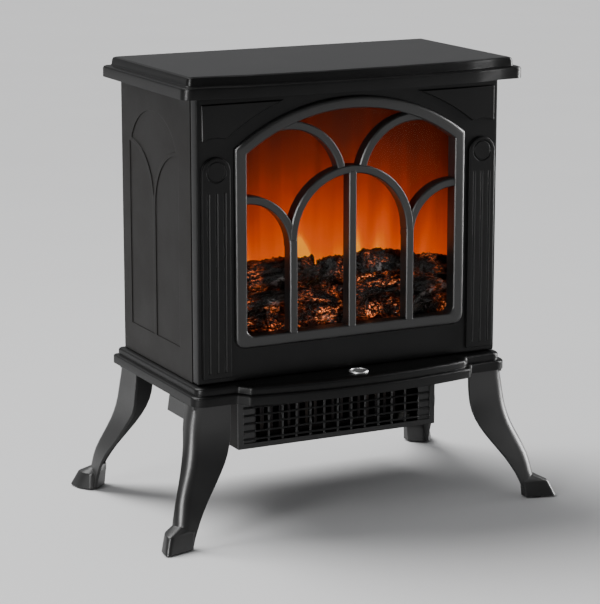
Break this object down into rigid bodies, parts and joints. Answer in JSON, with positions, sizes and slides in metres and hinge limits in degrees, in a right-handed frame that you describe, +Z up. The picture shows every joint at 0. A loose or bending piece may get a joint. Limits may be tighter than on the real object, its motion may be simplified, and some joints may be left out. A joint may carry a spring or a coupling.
{
  "type": "electric fireplace",
  "caption": "Freestanding electric stove: arched tracery window with log bed and lit flame screen, bowed top and base, curved legs, fan heater under the base.",
  "frame": {"origin": "on the floor at the middle of the footprint", "axes": "+Z up, +X to the right seen from the front, the window and outlet face -Y"},
  "size_m": [0.51, 0.3086, 0.5267],
  "materials": {
    "black_paint": "satin black powder coat, fine texture",
    "black_plastic": "satin black moulding, fine texture",
    "satin_black": "satin black paint",
    "glass": "clear safety glass",
    "flame_film": "translucent screen, lit orange from behind",
    "charred_resin": "painted resin, charred black with orange embers",
    "zinc_sheet": "zinc plated sheet",
    "polished_sheet": "bright reflective sheet",
    "circuit_board": "white lamp board",
    "motor_steel": "plated motor can",
    "heater_fins": "bare heater fins",
    "white_nylon": "natural nylon",
    "silver_badge": "satin silver badge",
    "rubber": "black rubber",
    "screw_steel": "blackened screw steel",
    "knob_plastic": "black satin plastic"
  },
  "bodies": {
    "stove": {"top_plate": "black_plastic", "base_plate": "black_plastic", "badge": "silver_badge", "front_fascia": "black_plastic", "window_frame": "satin_black", "window_glass": "glass", "side_panel_left": "black_paint", "side_panel_right": "black_paint", "rear_panel": "black_paint", "firebox_liner": "black_paint", "flame_screen": "flame_film", "flame_mask": "polished_sheet", "ember_bed": "charred_resin", "log_set": "charred_resin", "rotor_bracket_left": "zinc_sheet", "rotor_bracket_right": "zinc_sheet", "rotor_motor": "motor_steel", "led_strip": "circuit_board", "led_bracket": "zinc_sheet", "heater_box": "black_paint", "outlet_grille": "satin_black", "heating_element": "heater_fins", "thermal_cutout": "white_nylon", "blower_motor": "motor_steel", "blower_bearing": "zinc_sheet", "fan_scroll": "zinc_sheet", "tilt_switch": "white_nylon", "control_plate": "black_plastic", "thermostat_body": "white_nylon", "terminal_block": "white_nylon", "cord_gland": "rubber", "rear_screw_1": "screw_steel", "leg_bolt_1": "screw_steel", "rear_screw_2": "screw_steel", "leg_bolt_2": "screw_steel", "rear_screw_3": "screw_steel", "leg_bolt_3": "screw_steel", "rear_screw_4": "screw_steel", "leg_bolt_4": "screw_steel", "power_switch_housing": "satin_black", "heat_low_switch_housing": "satin_black", "heat_high_switch_housing": "satin_black", "leg_front_left": "satin_black", "foot_pad_front_left": "rubber", "leg_front_right": "satin_black", "foot_pad_front_right": "rubber", "leg_back_left": "satin_black", "foot_pad_back_left": "rubber", "leg_back_right": "satin_black", "foot_pad_back_right": "rubber"},
    "flame_rotor": {"flame_rotor": "polished_sheet"},
    "blower_wheel": {"blower_wheel": "white_nylon"},
    "thermostat_knob": {"thermostat_knob": "knob_plastic"},
    "power_rocker": {"power_rocker": "knob_plastic"},
    "heat_low_rocker": {"heat_low_rocker": "knob_plastic"},
    "heat_high_rocker": {"heat_high_rocker": "knob_plastic"}
  },
  "joints": [
    {"name": "flame_rotor_spin", "type": "hinge", "parent": "stove", "child": "flame_rotor", "pos_m": [0, 0.0235, 0.262], "axis": [1, 0, 0], "continuous": true},
    {"name": "blower_spin", "type": "hinge", "parent": "stove", "child": "blower_wheel", "pos_m": [0, 0.0395, 0.12], "axis": [1, 0, 0], "continuous": true},
    {"name": "thermostat_turn", "type": "hinge", "parent": "stove", "child": "thermostat_knob", "pos_m": [-0.136, 0.1075, 0.435], "axis": [0, -1, 0], "range_deg": [0, 270]},
    {"name": "power_press", "type": "hinge", "parent": "stove", "child": "power_rocker", "pos_m": [-0.102, 0.1065, 0.435], "axis": [1, 0, 0], "range_deg": [0, 20]},
    {"name": "heat_low_press", "type": "hinge", "parent": "stove", "child": "heat_low_rocker", "pos_m": [-0.08, 0.1065, 0.435], "axis": [1, 0, 0], "range_deg": [0, 20]},
    {"name": "heat_high_press", "type": "hinge", "parent": "stove", "child": "heat_high_rocker", "pos_m": [-0.058, 0.1065, 0.435], "axis": [1, 0, 0], "range_deg": [0, 20]}
  ]
}
